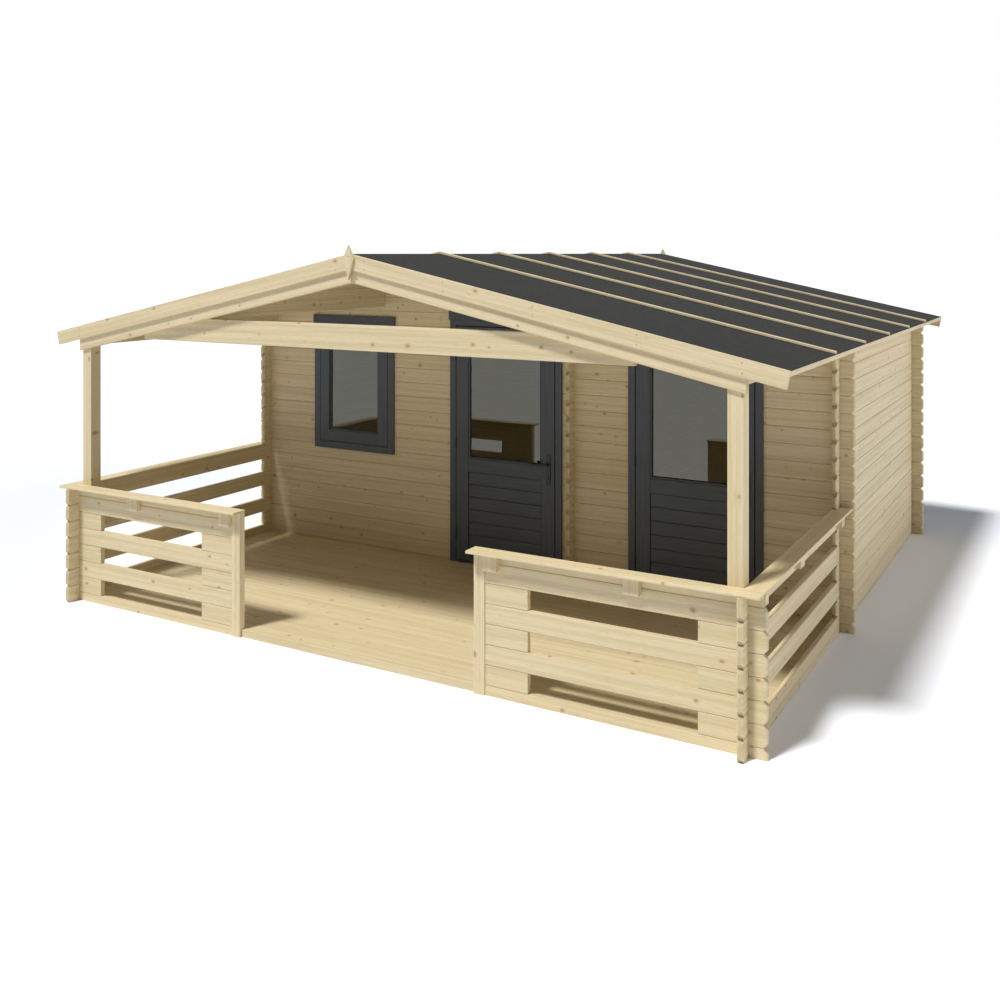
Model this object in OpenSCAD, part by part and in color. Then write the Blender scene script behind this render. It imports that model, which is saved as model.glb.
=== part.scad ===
// Log-built garden shed: two rooms under one gable roof that runs on over a railed veranda.
// X runs to the right seen from the veranda, Y from the veranda to the rear, Z up, in millimetres.

/* [Logs] */
// Cover height of one log
log_h = 121; // [100:1:140]
// Thickness of a log
log_t = 34; // [28:1:58]
// Depth of the chamfer along each log joint
joint_v = 4; // [2:0.5:7]
// Length of the log ends beyond the wall they cross
tail = 100; // [60:5:130]
// Chamfer on the upright edges of the log ends
tail_bevel = 8; // [3:1:12]
// Depth of the notches at the log ends
tail_v = 24; // [10:1:30]

/* [Plan] */
// Width between the centre planes of the side walls
plan_w = 5150; // [4900:10:5600]
// Depth of the veranda, from the railing's centre plane to the cabin front wall's
veranda_d = 2135; // [1600:5:2600]
// Depth of the cabin between the centre planes of its front and rear walls
cabin_d = 3020; // [2400:10:4000]

/* [Roof] */
// Height of the roof's underside at the inner faces of the side walls
wall_h = 2046; // [2020:1:2300]
// Roof pitch in degrees
pitch = 12; // [11:0.5:18]
// Overhang of the eaves beyond the side walls
eave_over = 213; // [150:1:300]
// Overhang of the roof beyond the rear wall
rear_over = 285; // [180:1:400]
// Thickness of the roof boards
board_t = 19; // [15:1:28]
// Gap left between the roof's layers where they lie on the slope
seat = 0.2; // [0.1:0.05:0.5]
// Thickness of the roofing felt
felt_t = 4; // [3:0.5:6]
// Battens that hold the felt
batten_count = 5; // [3:1:8]
// Distance from the roof's front edge to the first batten
batten_first = 1044; // [500:1:1300]
// Distance from the last batten to the roof's rear edge
batten_last = 922; // [500:1:1300]
// Width of a batten
batten_w = 30; // [20:1:50]
// Height of a batten
batten_h = 16; // [10:1:25]
// Height of the bargeboards across the slope
barge_h = 100; // [80:1:140]
// Thickness of the bargeboards
barge_t = 18; // [15:1:25]
// Length of the bargeboards past the eaves
barge_over = 7; // [2:1:20]
// Height of the eave trims
eave_trim_h = 28; // [22:1:40]
// Thickness of the eave trims
eave_trim_t = 18; // [12:1:25]
// Width of the finials
finial_w = 85; // [60:1:120]
// Height of the finials
finial_h = 225; // [160:1:300]
// Height of the finials above the bargeboards' peak
finial_up = 54; // [20:1:70]
// Thickness of the finials
finial_t = 18; // [12:1:25]

/* [Roof timbers] */
// Thickness of the rafters, beams and purlins
timber_t = 44; // [34:1:60]
// Height of the rafters across the slope
rafter_h = 158; // [130:1:180]
// Height of the ridge purlin at its middle
ridge_purlin_h = 162; // [120:1:180]
// Height of the side purlins at their middle
purlin_h = 160; // [120:1:180]
// Place of the side purlins from the middle
purlin_x = 1290; // [1100:1:1450]
// Height of the eave beams at their outer face
eave_beam_h = 126; // [90:1:140]
// Height of the tie beam
tie_h = 165; // [120:1:190]
// Length of the tie beam
tie_l = 3860; // [3400:10:4100]
// Side of the square corner posts
post_w = 90; // [70:1:120]

/* [Veranda railing] */
// Courses in the railing
rail_courses = 7; // [5:2:7]
// Clear width of the entrance between its posts
entrance_w = 1860; // [1500:2:2000]
// Width of the entrance posts
end_post_w = 75; // [50:1:100]
// Distance the entrance posts stand proud of the logs
end_post_proud = 8; // [4:1:15]
// Length of solid wall between the entrance posts and the slots
slot_inset = 286; // [240:1:400]
// Length of the slots
slot_l = 1028; // [800:1:1060]
// Length of the spacer blocks behind the front railing
spacer_l = 60; // [30:1:120]
// Width of the caps
cap_w = 120; // [100:1:132]
// Thickness of the caps
cap_t = 18; // [14:1:28]
// Length of the front caps past the entrance posts
cap_over = 13; // [5:1:40]
// Width of the blocks under the caps
block_w = 96; // [50:1:120]
// Height of the blocks under the caps
block_h = 100; // [60:1:115]
// Depth of the blocks under the caps
block_d = 38; // [25:1:55]
// Distance from the entrance post to the first block
block_first = 0; // [0:1:80]
// Spacing of the blocks along the front
block_step = 895; // [700:1:1000]
// Place of the middle block along the side railing
block_side = 905; // [600:1:1200]
// Distance from the cabin's front wall to the rear block
block_rear = 10; // [0:1:100]

/* [Floor] */
// Height of the floor above the ground
floor_z = 50; // [45:1:70]
// Thickness of the floor boards
floor_t = 20; // [15:1:28]
// Width of the floor joists
joist_w = 50; // [40:1:70]
// Greatest spacing of the floor joists
joist_step = 520; // [400:10:600]
// Distance of the entrance edge board behind the railing's outer face
floor_back = 10; // [0:1:18]

/* [Doors] */
// Width over a door frame
door_w = 1040; // [940:1:1080]
// Place of the left door's middle
left_door_x = -65; // [-120:1:-60]
// Distance from the left door's frame to the partition wall
partition_gap = 71; // [50:1:140]
// Distance from the partition wall to the right door's frame
right_gap = 460; // [380:1:470]
// Height of the top edge of the door leaves above the ground
leaf_top = 2009; // [1900:1:2040]
// Thickness of a door leaf
leaf_t = 40; // [34:1:50]
// Gap around a door leaf
door_gap = 7; // [6.5:0.5:9]
// Width of the frame's face beside a leaf
frame_face = 56; // [44:1:70]
// Height of the frame's face over a leaf
head_face = 48; // [40:1:70]
// Distance the frames stand proud of the wall
frame_proud = 18; // [12:1:25]
// Thickness of the frame lining in the wall
liner_t = 30; // [22:1:40]
// Width of the stop behind a leaf
stop_w = 20; // [14:1:30]
// Height of the door sills above the ground
sill_z = 65; // [60:1:90]
// Width of the stiles
stile_w = 115; // [90:1:140]
// Height of the top and bottom rails
rail_h = 115; // [90:1:140]
// Height of the mid rail
mid_rail_h = 110; // [80:1:140]
// Height of the mid rail's top edge above the ground
mid_rail_top = 920; // [860:1:980]
// Depth of the lower panel behind the stiles
panel_in = 8; // [4:1:12]
// Height of the head trims
trim_h = 82; // [50:1:100]
// Thickness of the head trims
trim_t = 24; // [20:1:35]
// Length of the head trims past the frames
trim_over = 10; // [4:1:20]

/* [Glass] */
// Thickness of the panes
pane_t = 6; // [4:1:12]
// Depth of the grooves that hold the panes
pane_in = 10; // [6:1:15]

/* [Door fittings] */
// Height of the lever above the ground
lever_z = 938; // [900:1:1000]
// Distance of the lever's spindle from the leaf's edge
backset = 52; // [45:1:60]
// Length of the lever
lever_l = 130; // [100:1:150]
// Thickness of the lever's grip
lever_d = 18; // [14:1:22]
// Distance from the plate to the grip
lever_out = 32; // [25:1:45]
// Diameter of the lever's neck
neck_d = 18; // [14:1:22]
// Diameter of the spindle
spindle_d = 9; // [8:1:11]
// Running clearance around the neck and spindle
turn_gap = 0.4; // [0.3:0.05:0.6]
// Width of the plates
plate_w = 40; // [32:1:48]
// Height of the plates
plate_h = 250; // [200:1:280]
// Height of a plate above the spindle
plate_up = 85; // [60:1:110]
// Thickness of the plates
plate_t = 6; // [4:1:8]
// Hinges on each door
hinge_count = 3; // [2:1:4]
// Diameter of the hinge barrels
hinge_d = 12; // [11:0.5:15]
// Height of each half of a hinge
hinge_h = 40; // [35:1:60]
// Depth of the hinge leaves in the gap beside the door leaf
hinge_l = 30; // [20:1:32]
// Thickness of the hinge leaves
hinge_t = 2; // [1.5:0.5:2.5]
// Diameter of the hinge pins
pin_d = 6; // [5:0.5:7]
// Distance of the hinge barrels from the leaf's face
hinge_off = 0.5; // [0.3:0.1:1]
// Clearance between the two halves of a hinge
hinge_gap = 0.3; // [0.3:0.05:0.5]
// Distance of the first and last hinge from the leaf's ends
hinge_inset = 220; // [150:1:300]

/* [Window] */
// Width over the window frame
window_w = 869; // [760:1:940]
// Height over the window frame
window_h = 1108; // [900:1:1300]
// Place of the window's middle
window_x = -1595; // [-1700:1:-1450]
// Height of the window frame's upper edge
window_top = 1985; // [1920:1:2000]
// Width of the window frame's face
casing_w = 62; // [50:1:75]
// Gap between the frame and the sash
sash_gap = 4; // [2:1:6]
// Width of the sash stiles and rails
sash_w = 100; // [80:1:115]
// Thickness of the sash
sash_t = 46; // [38:1:54]

/* [Hidden] */
$fn = 32;

spruce = "#DCCBA2";
anthracite = "#3F4245";
felt_black = "#434343";
glass_grey = "#8FA0A6";
iron_black = "#1C1C1C";

// Overshoot of cutting shapes
over = 10;

// Main planes
wall_x = plan_w / 2;
in_x = wall_x - log_t / 2;
out_x = wall_x + log_t / 2;
tail_x = out_x + tail;
front_y = -log_t / 2;
tail_y = front_y - tail;
cabin_y = veranda_d - log_t / 2;
room_y = veranda_d + log_t / 2;
rear_y = veranda_d + cabin_d;
back_y = rear_y + log_t / 2;

// Roof lines: underside of the boards, top of the boards and top of the felt
slope = tan(pitch);
eave_x = out_x + eave_over;
function under_z(x) = wall_h + slope * (in_x - abs(x));
function rise(t) = t / cos(pitch);
ridge_z = under_z(0);
roof_y0 = front_y + barge_t;
roof_y1 = back_y + rear_over - barge_t;
end_y = roof_y1 + barge_t + finial_t;
purlin_z = under_z(purlin_x) - purlin_h;
ridge_purlin_z = ridge_z - ridge_purlin_h;
eave_beam_z = under_z(in_x) - eave_beam_h;
// Layers of the roof, measured square to the slope from the timbers' top
board_0 = seat;
board_1 = board_0 + board_t;
felt_0 = board_1 + seat;
felt_1 = felt_0 + felt_t;
batten_0 = felt_1 + seat;
peak_z = ridge_z + rise(felt_1);

// Railing levels and places
rail_z = rail_courses * log_h;
cap_z = rail_z + cap_t;
post_x = entrance_w / 2;
panel_x = post_x + end_post_w;
slot_x = panel_x + slot_inset;
rafter_y = roof_y0;
post_y = log_t / 2;
beam_y = rafter_y + timber_t;

// Doors: inner edge of the frame, half width of the wall opening, and the levels of the head
reveal_x = door_w / 2 - frame_face;
opening_x = reveal_x + liner_t;
leaf_w = 2 * (reveal_x - door_gap);
leaf_z = sill_z + door_gap;
head_z = leaf_top + door_gap;
gable_z = (ceil((head_z + head_face) / log_h - 0.5) + 0.5) * log_h;
leaf_y = cabin_y - frame_proud;
stop_y = leaf_y + leaf_t + door_gap;
lever_x = leaf_w / 2 - backset;
hinge_x = -leaf_w / 2 - door_gap / 2;
hinge_y = leaf_y - hinge_off - hinge_d / 2;
partition_x = left_door_x + door_w / 2 + partition_gap + log_t / 2;
right_door_x = partition_x + log_t / 2 + right_gap + door_w / 2;
doors = [left_door_x, right_door_x];

// Window opening in the wall
window_z = window_top - window_h;
hole_w = window_w - 2 * (casing_w - liner_t);
hole_h = window_h - 2 * (casing_w - liner_t);
sash_y = cabin_y - frame_proud;

// Middle of the whole shed from front to rear
mid_y = (tail_y + end_y) / 2;

module placed() { translate([0, -mid_y, 0]) children(); }
module both_sides() { for (m = [0, 1]) mirror([m, 0, 0]) children(); }
// A shape drawn in X and Z, carried along Y
module along_y(a, b) { translate([0, b, 0]) rotate([90, 0, 0]) linear_extrude(b - a) children(); }
// A shape drawn in Y and Z, carried along X
module along_x(a, b) { translate([a, 0, 0]) rotate([90, 0, 90]) linear_extrude(b - a) children(); }
module box(a, b) { translate(a) cube(b - a); }

// Joint heights: side walls start with a whole log, gable walls with a half log
function side_joints(top) = [for (z = [log_h : log_h : top - 2 * joint_v]) z];
function gable_joints(top) = [for (z = [log_h / 2 : log_h : top - 2 * joint_v]) z];
// One upright edge with notches of depth v at the joints, from the bottom up; s is the way they cut
function notched(u, s, v, joints, top, foot = 0) = concat([[u + s * foot, 0]], foot > 0 ? [[u, foot]] : [],
    [for (z = joints) each [[u, z - v], [u + s * v, z], [u, z + v]]], [[u, top]]);
function reversed(p) = [for (i = [len(p) - 1 : -1 : 0]) p[i]];

// Section of a log wall across its thickness, the top planed to the heights at its two faces
module log_section(joints, low_top, high_top) {
    polygon(concat(notched(log_t / 2, -1, joint_v, joints, high_top),
        reversed(notched(-log_t / 2, 1, joint_v, joints, low_top))));
}
// Elevation of a log wall with notched ends; a or b can be a plain end, and foot chamfers the lowest logs
module log_elevation(a, b, joints, top, plain_a = false, plain_b = false, foot = 0) {
    polygon(concat(notched(b, -1, tail_v, plain_b ? [] : joints, top, plain_b ? 0 : foot),
        reversed(notched(a, 1, tail_v, plain_a ? [] : joints, top, plain_a ? 0 : foot))));
}
// Plan of a log wall with its free ends bevelled
module log_plan(a, b, plain_a = false, plain_b = false) {
    h = log_t / 2;
    ka = plain_a ? 0 : tail_bevel;
    kb = plain_b ? 0 : tail_bevel;
    polygon([[a + ka, -h], [b - kb, -h], [b, kb - h], [b, h - kb], [b - kb, h], [a + ka, h],
        [a, h - ka], [a, ka - h]]);
}
// Notches where a wall crosses another at u: side logs keep their middle half, and so do gable logs
module side_notches(u, top) {
    for (z = [0 : log_h : top + log_h]) translate([u - log_t / 2, z - log_h / 4]) square([log_t, log_h / 2]);
}
module gable_notches(u, top) {
    for (z = [log_h / 2 : log_h : top + log_h])
        translate([u - log_t / 2, z - log_h / 4]) square([log_t, log_h / 2]);
}
// A wall along Y at x, from its elevation in Y and Z
module side_log_wall(x, a, b, joints, low_top, high_top, plain_b = false) {
    intersection() {
        translate([x, 0, 0]) along_y(a, b) log_section(joints, low_top, high_top);
        translate([x, 0, 0]) linear_extrude(2 * ridge_z) rotate(90) log_plan(a, b, false, plain_b);
        along_x(x - log_t, x + log_t) children();
    }
}
// A wall along X at y, from its elevation in X and Z
module gable_log_wall(y, a, b, top, plain_a = false, plain_b = false) {
    intersection() {
        translate([0, y, 0]) along_x(a, b) log_section(gable_joints(top), top, top);
        translate([0, y, 0]) linear_extrude(2 * ridge_z) log_plan(a, b, plain_a, plain_b);
        along_y(y - log_t, y + log_t) children();
    }
}
// The space under the roof boards, in X and Z
module under_roof() {
    polygon([[-eave_x, 0], [eave_x, 0], [eave_x, under_z(eave_x)], [0, ridge_z], [-eave_x, under_z(eave_x)]]);
}
// A layer that lies on the slope from t0 to t1 above the boards' underside, from x0 to x1
module slope_layer(x0, x1, t0, t1) {
    polygon([[x0, under_z(x0) + rise(t0)], [x1, under_z(x1) + rise(t0)],
        [x1, under_z(x1) + rise(t1)], [x0, under_z(x0) + rise(t1)]]);
}
// A layer over both slopes out to x1
module chevron_layer(x1, t0, t1) {
    polygon([[-x1, under_z(x1) + rise(t0)], [0, ridge_z + rise(t0)], [x1, under_z(x1) + rise(t0)],
        [x1, under_z(x1) + rise(t1)], [0, ridge_z + rise(t1)], [-x1, under_z(x1) + rise(t1)]]);
}
// Sections of the purlins, with their tops planed to the roof
module side_purlin_section() {
    intersection() {
        translate([purlin_x - timber_t / 2, purlin_z]) square([timber_t, ridge_z - purlin_z]);
        under_roof();
    }
}
module ridge_purlin_section() {
    intersection() {
        translate([-timber_t / 2, ridge_purlin_z]) square([timber_t, ridge_purlin_h]);
        under_roof();
    }
}
// Slots for the purlins, open at the top of the gables
module purlin_slots() {
    both_sides() translate([purlin_x - timber_t / 2, purlin_z]) square([timber_t, ridge_z]);
    translate([-timber_t / 2, ridge_purlin_z]) square([timber_t, ridge_z]);
}

// Cabin walls
module side_wall(s) {
    a = cabin_y - tail;
    b = back_y + tail;
    joints = side_joints(under_z(out_x));
    color(spruce) side_log_wall(s * wall_x, a, b, joints,
        under_z(wall_x - s * log_t / 2), under_z(wall_x + s * log_t / 2))
        difference() {
            log_elevation(a, b, joints, ridge_z, foot = tail_v);
            side_notches(veranda_d, ridge_z);
            side_notches(rear_y, ridge_z);
            // Every second log of the railing runs on from this wall
            for (k = [0 : 2 : rail_courses - 1])
                translate([a - over, k * log_h]) square([tail + over, log_h]);
        }
}
module left_wall() { side_wall(-1); }
module right_wall() { side_wall(1); }

module partition_wall() {
    a = cabin_y - tail;
    b = back_y + tail;
    low = under_z(partition_x + log_t / 2);
    joints = side_joints(low);
    color(spruce) side_log_wall(partition_x, a, b, joints, under_z(partition_x - log_t / 2), low)
        difference() {
            log_elevation(a, b, joints, ridge_z, foot = tail_v);
            side_notches(veranda_d, ridge_z);
            side_notches(rear_y, ridge_z);
        }
}

module rear_wall() {
    color(spruce) gable_log_wall(rear_y, -tail_x, tail_x, ridge_z) difference() {
        intersection() {
            log_elevation(-tail_x, tail_x, gable_joints(under_z(tail_x)), ridge_z);
            under_roof();
        }
        for (x = [-wall_x, partition_x, wall_x]) gable_notches(x, ridge_z);
        purlin_slots();
    }
}

// Front wall from a to b under the level of the gable
module front_wall(a, b, plain_a, plain_b) {
    color(spruce) gable_log_wall(veranda_d, a, b, ridge_z, plain_a, plain_b) difference() {
        intersection() {
            log_elevation(a, b, gable_joints(under_z(tail_x)), ridge_z, plain_a, plain_b);
            under_roof();
            translate([a, 0]) square([b - a, gable_z]);
        }
        children();
    }
}
module front_wall_left() {
    front_wall(-tail_x, left_door_x - opening_x, false, true) {
        union() {
            gable_notches(-wall_x, ridge_z);
            translate([window_x - hole_w / 2, window_z + casing_w - liner_t]) square([hole_w, hole_h]);
        }
    }
}
module front_wall_middle() {
    front_wall(left_door_x + opening_x, right_door_x - opening_x, true, true)
        gable_notches(partition_x, ridge_z);
}
module front_wall_right() {
    front_wall(right_door_x + opening_x, tail_x, true, false) gable_notches(wall_x, ridge_z);
}
module front_gable() {
    color(spruce) gable_log_wall(veranda_d, -tail_x, tail_x, ridge_z) difference() {
        intersection() {
            under_roof();
            translate([-tail_x, gable_z]) square([2 * tail_x, ridge_z]);
        }
        gable_notches(partition_x, ridge_z);
        purlin_slots();
    }
}

// Floors of boards on joists
module cabin_floor() {
    color(spruce) {
        box([-in_x, room_y, floor_z - floor_t], [partition_x - log_t / 2, rear_y - log_t / 2, floor_z]);
        box([partition_x + log_t / 2, room_y, floor_z - floor_t], [in_x, rear_y - log_t / 2, floor_z]);
    }
}
module entrance_post_plan() {
    both_sides() translate([post_x, front_y - end_post_proud])
        square([end_post_w, log_t + 2 * end_post_proud]);
}
// What the veranda floor is cut around: the entrance posts and the partition's log ends
module floor_cuts() {
    entrance_post_plan();
    translate([partition_x - log_t / 2, cabin_y - tail]) square([log_t, tail + over]);
}
module veranda_floor() {
    color(spruce) translate([0, 0, floor_z - floor_t]) linear_extrude(floor_t) difference() {
        translate([-in_x, -front_y]) square([2 * in_x, cabin_y + front_y]);
        floor_cuts();
    }
}
// Board on edge that closes the floor's front between the entrance posts
module entrance_edge() {
    color(spruce) box([-post_x, front_y + floor_back, 0], [post_x, -front_y, floor_z]);
}
// Joists from a to b across the strip from y0 to y1
module joists(a, b, y0, y1) {
    n = ceil((b - a - joist_w) / joist_step);
    for (i = [0 : n])
        translate([a + i * (b - a - joist_w) / n, y0, 0]) cube([joist_w, y1 - y0, floor_z - floor_t]);
}
module floor_joists() {
    color(spruce) {
        joists(-in_x, partition_x - log_t / 2, room_y, rear_y - log_t / 2);
        joists(partition_x + log_t / 2, in_x, room_y, rear_y - log_t / 2);
        difference() {
            joists(-in_x, in_x, -front_y, cabin_y);
            translate([0, 0, -over]) linear_extrude(floor_z + 2 * over) floor_cuts();
        }
    }
}

// Veranda railings: log panels with slots in front, spaced logs at the sides
module front_railings() {
    joints = gable_joints(rail_z);
    color(spruce) both_sides() gable_log_wall(0, panel_x, tail_x, rail_z, true, false) difference() {
        log_elevation(panel_x, tail_x, joints, rail_z, true, false);
        gable_notches(wall_x, rail_z);
        for (k = [0 : 2 : rail_courses - 2])
            translate([slot_x, (k + 0.5) * log_h]) square([slot_l, log_h]);
    }
}
module side_railings() {
    joints = side_joints(rail_z);
    color(spruce) both_sides() side_log_wall(wall_x, tail_y, cabin_y, joints, rail_z, rail_z, true) difference() {
        log_elevation(tail_y, cabin_y, joints, rail_z, false, true, tail_v);
        side_notches(0, rail_z);
        for (k = [1 : 2 : rail_courses - 1])
            translate([-front_y + spacer_l, k * log_h]) square([cabin_y, log_h]);
    }
}
module entrance_posts() {
    color(spruce) linear_extrude(rail_z) entrance_post_plan();
}
module front_caps() {
    color(spruce) both_sides() translate([0, 0, rail_z])
        box([post_x - cap_over, -front_y - cap_w, 0], [in_x + cap_w, -front_y, cap_t]);
}
module side_caps() {
    color(spruce) both_sides() difference() {
        box([in_x, -front_y, rail_z], [in_x + cap_w, cabin_y, cap_z]);
        box([in_x - over, cabin_y - tail, rail_z - over], [out_x, cabin_y + over, cap_z + over]);
    }
}
module cap_blocks() {
    color(spruce) both_sides() translate([0, 0, rail_z - block_h]) {
        for (i = [0, 1]) translate([panel_x + block_first + i * block_step, front_y - block_d, 0])
            cube([block_w, block_d, block_h]);
        for (y = [block_side, cabin_y - block_rear - block_w])
            translate([out_x, y, 0]) cube([block_d, block_w, block_h]);
    }
}

// Roof timbers over the veranda
module rafter_elevation() {
    intersection() {
        slope_layer(0, wall_x, -rafter_h, 0);
        square([wall_x, 2 * ridge_z]);
    }
}
module right_rafter() { color(spruce) along_y(rafter_y, beam_y) rafter_elevation(); }
module left_rafter() { mirror([1, 0, 0]) right_rafter(); }
module corner_posts() {
    color(spruce) both_sides() difference() {
        box([in_x - post_w, post_y, floor_z], [in_x, post_y + post_w, eave_beam_z]);
        along_y(rafter_y - over, beam_y)
            slope_layer(in_x - post_w - over, in_x + over, -rafter_h - seat, rafter_h);
    }
}
module tie_beam() {
    color(spruce) box([-tie_l / 2, beam_y, purlin_z - tie_h], [tie_l / 2, beam_y + timber_t, purlin_z]);
}
module ridge_purlin() { color(spruce) along_y(beam_y, roof_y1) ridge_purlin_section(); }
module side_purlins() { color(spruce) along_y(beam_y, roof_y1) both_sides() side_purlin_section(); }
module eave_beams() {
    color(spruce) along_y(beam_y, cabin_y) both_sides() intersection() {
        translate([in_x - timber_t, eave_beam_z]) square([timber_t, ridge_z]);
        under_roof();
    }
}

// Roof covering
board_x = eave_x - eave_trim_t;
module right_roof_boards() {
    color(spruce) along_y(roof_y0, roof_y1) slope_layer(0, board_x, board_0, board_1);
}
module left_roof_boards() { mirror([1, 0, 0]) right_roof_boards(); }
module eave_trims() {
    color(spruce) along_y(roof_y0, roof_y1) both_sides()
        slope_layer(board_x, eave_x, board_1 - eave_trim_h, board_1);
}
module roof_felt() {
    color(felt_black) along_y(roof_y0, roof_y1) chevron_layer(eave_x, felt_0, felt_1);
}
module roof_battens() {
    pitch_y = (roof_y1 - roof_y0 - batten_first - batten_last) / (batten_count - 1);
    first_y = roof_y0 + batten_first - batten_w / 2;
    color(spruce) for (i = [0 : batten_count - 1])
        along_y(first_y + i * pitch_y, first_y + i * pitch_y + batten_w)
            chevron_layer(eave_x, batten_0, batten_0 + batten_h);
}
module barge_elevation() {
    x1 = eave_x + barge_over;
    polygon([[0, ridge_z + rise(felt_1)], [x1, under_z(x1) + rise(felt_1)],
        [x1 - barge_h * sin(pitch), under_z(x1) + rise(felt_1) - barge_h * cos(pitch)],
        [0, ridge_z + rise(felt_1 - barge_h)]]);
}
module right_bargeboards() {
    color(spruce) for (y = [front_y, roof_y1]) along_y(y, y + barge_t) barge_elevation();
}
module left_bargeboards() { mirror([1, 0, 0]) right_bargeboards(); }
module finials() {
    top = peak_z + finial_up;
    mid = top - finial_w;
    color(spruce) for (y = [front_y - finial_t, roof_y1 + barge_t]) along_y(y, y + finial_t)
        polygon([[0, top], [finial_w / 2, mid], [0, top - finial_h], [-finial_w / 2, mid]]);
}

// Window: frame gripped on the wall, sash against its stop, pane in the sash's groove
module window_ring(w, h, face, y0, y1) {
    along_y(y0, y1) difference() {
        translate([window_x - w / 2, window_z + (window_h - h) / 2]) square([w, h]);
        translate([window_x - w / 2 + face, window_z + (window_h - h) / 2 + face])
            square([w - 2 * face, h - 2 * face]);
    }
}
module window_frame() {
    color(anthracite) {
        window_ring(window_w, window_h, casing_w, cabin_y - frame_proud, cabin_y);
        window_ring(hole_w, hole_h, liner_t, cabin_y, room_y);
        window_ring(window_w, window_h, casing_w, room_y, room_y + frame_proud);
        window_ring(hole_w - 2 * liner_t, hole_h - 2 * liner_t, stop_w, sash_y + sash_t, room_y + frame_proud);
    }
}
sash_ow = window_w - 2 * (casing_w + sash_gap);
sash_oh = window_h - 2 * (casing_w + sash_gap);
pane_y = sash_y + sash_t / 2;
module window_pane(grow) {
    w = sash_ow - 2 * sash_w + 2 * grow;
    h = sash_oh - 2 * sash_w + 2 * grow;
    box([window_x - w / 2, pane_y, window_z + (window_h - h) / 2],
        [window_x + w / 2, pane_y + pane_t, window_z + (window_h + h) / 2]);
}
module window_sash() {
    color(anthracite) difference() {
        window_ring(sash_ow, sash_oh, sash_w, sash_y, sash_y + sash_t);
        window_pane(pane_in);
    }
}
module window_glass() { color(glass_grey) window_pane(pane_in); }

// Trims over the window and the doors, scribed to the roof
module head_trims() {
    color(anthracite) along_y(cabin_y - trim_t, cabin_y) intersection() {
        under_roof();
        union() {
            translate([window_x - window_w / 2 - trim_over, window_z + window_h])
                square([window_w + 2 * trim_over, trim_h]);
            for (x = doors) translate([x - door_w / 2 - trim_over, head_z + head_face])
                square([door_w + 2 * trim_over, trim_h]);
        }
    }
}

// Door frames: jambs on a sill, and a head
module jamb_plan() {
    translate([reveal_x, cabin_y - frame_proud]) square([frame_face, frame_proud]);
    translate([reveal_x, cabin_y - frame_proud]) square([liner_t, log_t + 2 * frame_proud]);
    translate([reveal_x, room_y]) square([frame_face, frame_proud]);
    translate([reveal_x - stop_w, stop_y]) square([stop_w + liner_t, room_y + frame_proud - stop_y]);
}
module door_jambs() {
    color(anthracite) for (x = doors) translate([x, 0, sill_z]) linear_extrude(head_z - sill_z)
        both_sides() jamb_plan();
}
module door_heads() {
    stop_x = reveal_x - stop_w;
    color(anthracite) for (x = doors) translate([x, 0, 0]) {
        box([-door_w / 2, cabin_y - frame_proud, head_z], [door_w / 2, cabin_y, head_z + head_face]);
        box([-opening_x, cabin_y, head_z], [opening_x, room_y, gable_z]);
        box([-door_w / 2, room_y, head_z], [door_w / 2, room_y + frame_proud, gable_z]);
        box([-stop_x, stop_y, head_z - stop_w], [stop_x, room_y + frame_proud, head_z]);
    }
}
module door_sills() {
    color(anthracite) for (x = doors) translate([x, 0, 0]) {
        box([-opening_x, cabin_y, 0], [opening_x, room_y, sill_z]);
        box([-door_w / 2, cabin_y - frame_proud, floor_z], [door_w / 2, cabin_y, sill_z]);
        box([-door_w / 2, room_y, floor_z], [door_w / 2, room_y + frame_proud, sill_z]);
    }
}

// Door leaf with stiles, rails, a sunk lower panel and a glazed upper half
glass_w = leaf_w - 2 * stile_w;
glass_z0 = mid_rail_top;
glass_z1 = leaf_top - rail_h;
panel_z0 = leaf_z + rail_h;
panel_z1 = mid_rail_top - mid_rail_h;
door_pane_y = leaf_y + leaf_t / 2 - pane_t / 2;
module door_pane(grow) {
    box([-glass_w / 2 - grow, door_pane_y, glass_z0 - grow],
        [glass_w / 2 + grow, door_pane_y + pane_t, glass_z1 + grow]);
}
module door_leaf() {
    color(anthracite) difference() {
        box([-leaf_w / 2, leaf_y, leaf_z], [leaf_w / 2, leaf_y + leaf_t, leaf_top]);
        box([-glass_w / 2, leaf_y - over, glass_z0], [glass_w / 2, leaf_y + leaf_t + over, glass_z1]);
        for (y = [leaf_y - over, leaf_y + leaf_t - panel_in])
            box([-glass_w / 2, y, panel_z0], [glass_w / 2, y + panel_in + over, panel_z1]);
        door_pane(pane_in);
        translate([lever_x, leaf_y - over, lever_z]) rotate([-90, 0, 0])
            cylinder(d = spindle_d + 2 * turn_gap, h = leaf_t + 2 * over);
    }
}
// Plates on both faces of the leaf, with a rounded top and bottom
module plate_shape() {
    difference() {
        union() {
            translate([-plate_w / 2, plate_up - plate_h + plate_w / 2]) square([plate_w, plate_h - plate_w]);
            for (z = [plate_up - plate_w / 2, plate_up - plate_h + plate_w / 2])
                translate([0, z]) circle(d = plate_w);
        }
        circle(d = neck_d + 2 * turn_gap);
    }
}
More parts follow.
